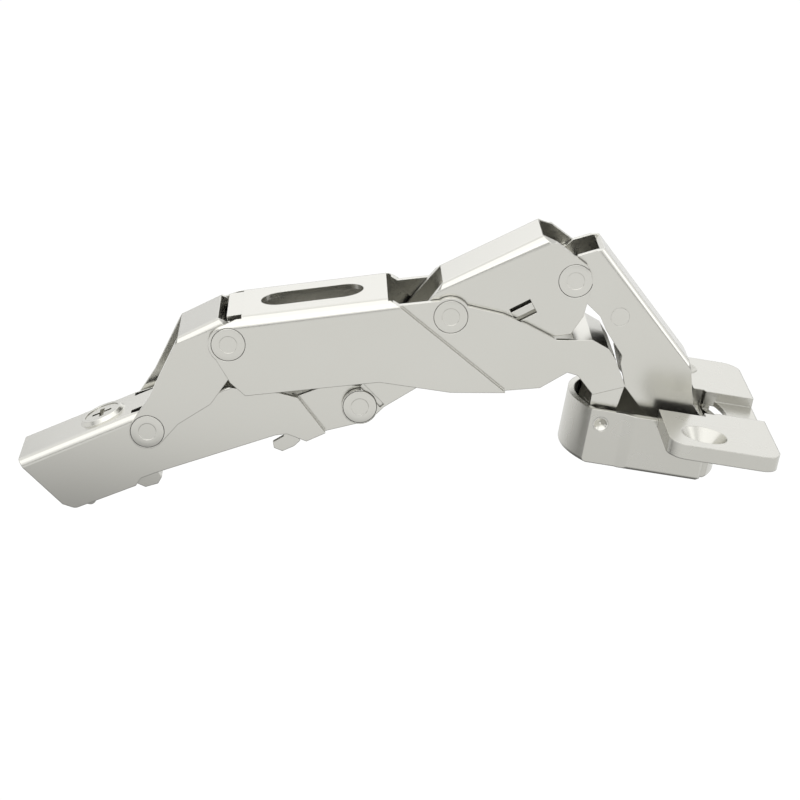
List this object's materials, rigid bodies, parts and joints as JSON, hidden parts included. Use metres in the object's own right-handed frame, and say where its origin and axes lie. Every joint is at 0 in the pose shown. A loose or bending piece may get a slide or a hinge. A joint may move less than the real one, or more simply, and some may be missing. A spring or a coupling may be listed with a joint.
{
  "type": "cabinet hinge",
  "caption": "Wide-angle concealed cabinet hinge, fully open: pot with screw tabs, folded steel levers on flush rivets, and a clip-on arm with a cam screw.",
  "frame": {"origin": "on the axis of the pot, in the plane of the door's face (the underside of the screw tabs)", "axes": "+Z out of the door, +X from the pot to the screw tabs, every pivot along Y"},
  "size_m": [0.1593, 0.061, 0.0777],
  "materials": {
    "sheet_nickel": "smooth bright nickel plate on folded steel",
    "cast_nickel": "smooth bright nickel plate on die-cast zinc",
    "rivet_steel": "turned steel, nickel plated",
    "spring_steel": "oiled spring steel"
  },
  "bodies": {
    "cup": {"cup_housing": "cast_nickel", "cup_pin_front": "rivet_steel", "cup_pin_rear": "rivet_steel", "pot_pin": "rivet_steel"},
    "outer_lever": {"outer_lever": "sheet_nickel", "rear_lever_rivet": "rivet_steel", "middle_rivet": "rivet_steel"},
    "crossing_lever": {"crossing_lever": "sheet_nickel", "brake_slider": "sheet_nickel", "front_arm_rivet": "rivet_steel", "cup_link_rivet": "rivet_steel"},
    "cup_link": {"cup_link": "sheet_nickel", "spring_rivet": "rivet_steel", "closing_spring": "spring_steel"},
    "hinge_arm": {"hinge_arm": "sheet_nickel"},
    "rear_link": {"rear_link": "sheet_nickel", "rear_arm_rivet": "rivet_steel"},
    "cam": {"cam_screw": "rivet_steel", "cam_collar": "rivet_steel"},
    "clip_adapter": {"clip_adapter": "sheet_nickel", "latch_pin": "rivet_steel", "latch_spring": "spring_steel"},
    "clip_latch": {"clip_latch": "sheet_nickel"}
  },
  "joints": [
    {"name": "fold", "type": "hinge", "parent": "cup", "child": "outer_lever", "pos_m": [-0.0108, 0, -0.0019], "axis": [0, 1, 0], "range_deg": [0, 114.6]},
    {"name": "lever_pivot", "type": "hinge", "parent": "outer_lever", "child": "crossing_lever", "pos_m": [-0.0471, 0, 0.0162], "axis": [0, -1, 0], "range_deg": [0, 93.7]},
    {"name": "link_pivot", "type": "hinge", "parent": "crossing_lever", "child": "cup_link", "pos_m": [-0.0221, 0, 0.0281], "axis": [0, 1, 0], "range_deg": [0, 83.7]},
    {"name": "arm_pivot", "type": "hinge", "parent": "crossing_lever", "child": "hinge_arm", "pos_m": [-0.0627, 0, -0.0077], "axis": [0, 1, 0], "range_deg": [0, 97.1]},
    {"name": "rear_pivot", "type": "hinge", "parent": "hinge_arm", "child": "rear_link", "pos_m": [-0.1072, 0, -0.0204], "axis": [0, -1, 0], "range_deg": [0, 102.3]},
    {"name": "cam_turn", "type": "hinge", "parent": "hinge_arm", "child": "cam", "pos_m": [-0.11746, 0, -0.02186], "axis": [-0.5401, 0, 0.8416], "range_deg": [-50, 50]},
    {"name": "depth_slide", "type": "slide", "parent": "hinge_arm", "child": "clip_adapter", "axis": [0.8829, 0, 0.4695], "range_m": [-0.0012, 0.0012]},
    {"name": "latch_release", "type": "hinge", "parent": "clip_adapter", "child": "clip_latch", "pos_m": [-0.11318, 0, -0.03205], "axis": [0, -1, 0], "range_deg": [0, 12], "stiffness_Nm_per_rad": 0.05}
  ],
  "couplings": [
    {"joint": "lever_pivot", "follows": "fold", "ratio": 0.817},
    {"joint": "link_pivot", "follows": "fold", "ratio": 0.7295},
    {"joint": "arm_pivot", "follows": "fold", "ratio": 0.8466},
    {"joint": "rear_pivot", "follows": "fold", "ratio": 0.8915},
    {"joint": "cam_turn", "follows": "depth_slide", "rad_per_m": -714.3}
  ]
}
